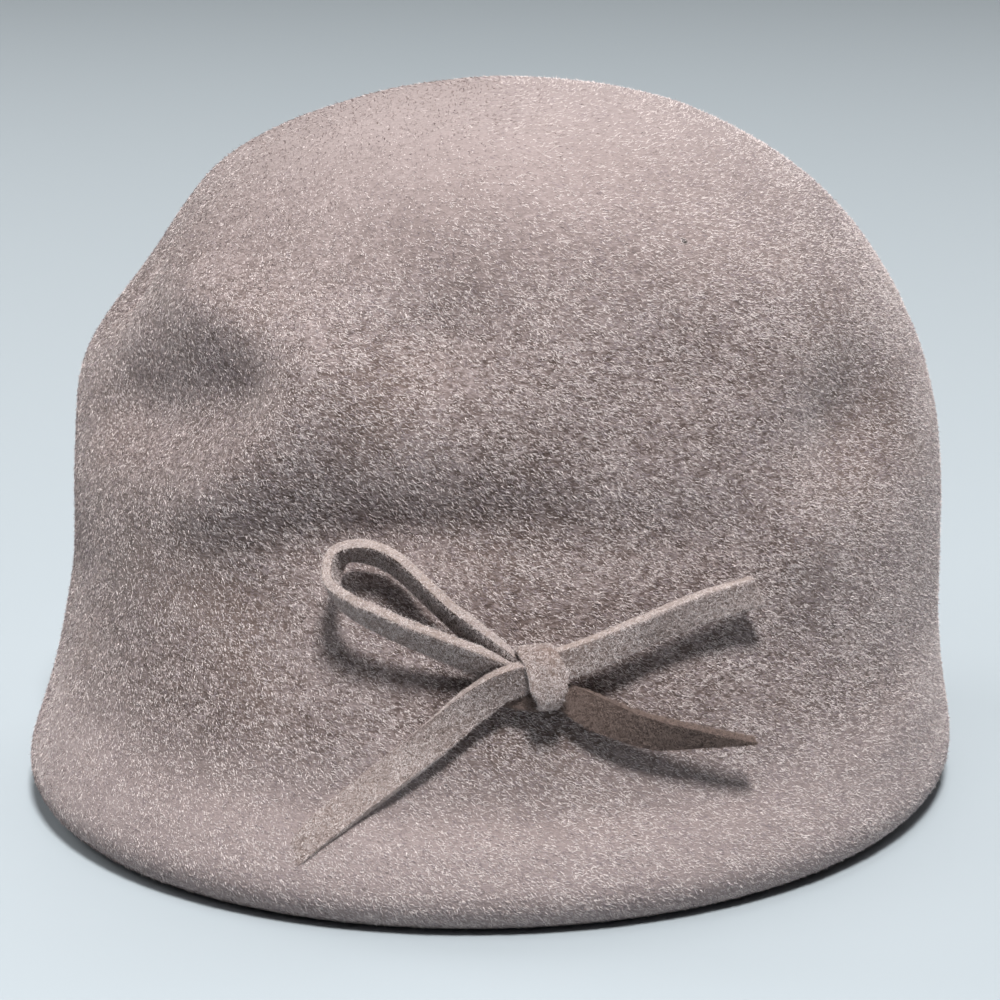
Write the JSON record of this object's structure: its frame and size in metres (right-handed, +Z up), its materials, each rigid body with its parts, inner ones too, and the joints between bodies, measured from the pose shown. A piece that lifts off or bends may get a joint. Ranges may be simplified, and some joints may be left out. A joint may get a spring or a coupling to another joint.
{
  "type": "cloche hat",
  "caption": "Bell-shaped soft felt hat with a rounded, dented crown, a short front brim rolled under at the rim, and a half bow of the same felt at the front.",
  "frame": {"origin": "middle of the hat's outline seen from above, on the surface that the rim rests on", "axes": "+Z up through the crown, -Y towards the brim's front, +X towards the wearer's left"},
  "size_m": [0.194, 0.2104, 0.1445],
  "materials": {
    "wool_felt": "brushed wool felt, matt, faded pinkish grey",
    "strip_felt": "narrow cut strip of the same felt, matt, with fuzzy cut edges"
  },
  "bodies": {
    "root": {"felt_hood": "wool_felt", "bow_knot": "strip_felt", "bow_loop": "strip_felt", "bow_strand": "strip_felt", "bow_tail_square": "strip_felt", "bow_tail_pointed": "strip_felt"}
  },
  "joints": []
}
